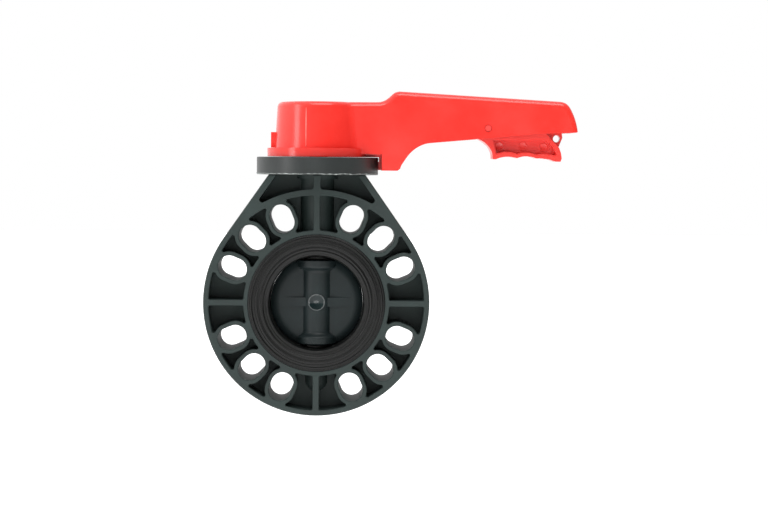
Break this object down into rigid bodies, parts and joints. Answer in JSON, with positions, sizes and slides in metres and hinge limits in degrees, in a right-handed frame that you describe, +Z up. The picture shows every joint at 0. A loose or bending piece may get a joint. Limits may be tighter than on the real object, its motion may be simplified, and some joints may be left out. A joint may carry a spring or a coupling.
{
  "type": "wafer butterfly valve",
  "caption": "Wafer butterfly valve with a moulded ring body, rubber-lined bore, turning disc, round lock plate and a latching lever with a squeeze trigger.",
  "frame": {"origin": "centre of the waterway, on the stem's axis and midway between the two pipe faces", "axes": "+Y along the pipe, +Z up the stem towards the lever, +X along the lever when the disc is shut"},
  "size_m": [0.3192, 0.1046, 0.2773],
  "materials": {
    "grey_pvc": "moulded grey PVC, satin, lightly textured",
    "grey_plate": "moulded grey polypropylene, smooth satin",
    "black_epdm": "moulded EPDM, matt",
    "disc_pvc": "moulded grey PVC, smooth satin",
    "red_abs": "moulded red ABS, semi-gloss",
    "red_pom": "moulded red acetal, semi-gloss",
    "stainless": "turned stainless steel",
    "zinc_steel": "zinc-plated steel",
    "spring_steel": "drawn stainless spring wire",
    "white_acetal": "machined acetal",
    "brass_insert": "machined brass"
  },
  "bodies": {
    "valve": {"valve_body": "grey_pvc", "seat_liner": "black_epdm", "lock_plate": "grey_plate", "upper_bush": "white_acetal", "lower_bush": "white_acetal", "stem_seal_lower": "black_epdm", "stem_seal_upper": "black_epdm", "bore_seal_top": "black_epdm", "bore_seal_base": "black_epdm", "thrust_washer": "white_acetal", "thread_inserts": "brass_insert", "plate_washers": "zinc_steel", "plate_screws": "zinc_steel"},
    "lever": {"disc": "disc_pvc", "stem": "stainless", "stem_circlip": "spring_steel", "lever_handle": "red_abs", "hub_cap": "red_abs", "lever_washer": "zinc_steel", "lever_screw": "zinc_steel", "trigger_pin": "red_pom", "pin_clips": "spring_steel"},
    "trigger": {"trigger": "red_pom", "trigger_spring": "spring_steel"}
  },
  "joints": [
    {"name": "handle_turn", "type": "hinge", "parent": "valve", "child": "lever", "pos_m": [0, 0, 0], "axis": [0, 0, 1], "range_deg": [0, 90]},
    {"name": "trigger_squeeze", "type": "hinge", "parent": "lever", "child": "trigger", "pos_m": [0.1453, 0, 0.1502], "axis": [0, -1, 0], "range_deg": [0, 9], "stiffness_Nm_per_rad": 4, "springref_deg": -5.73, "deforming": ["trigger_spring"]}
  ]
}
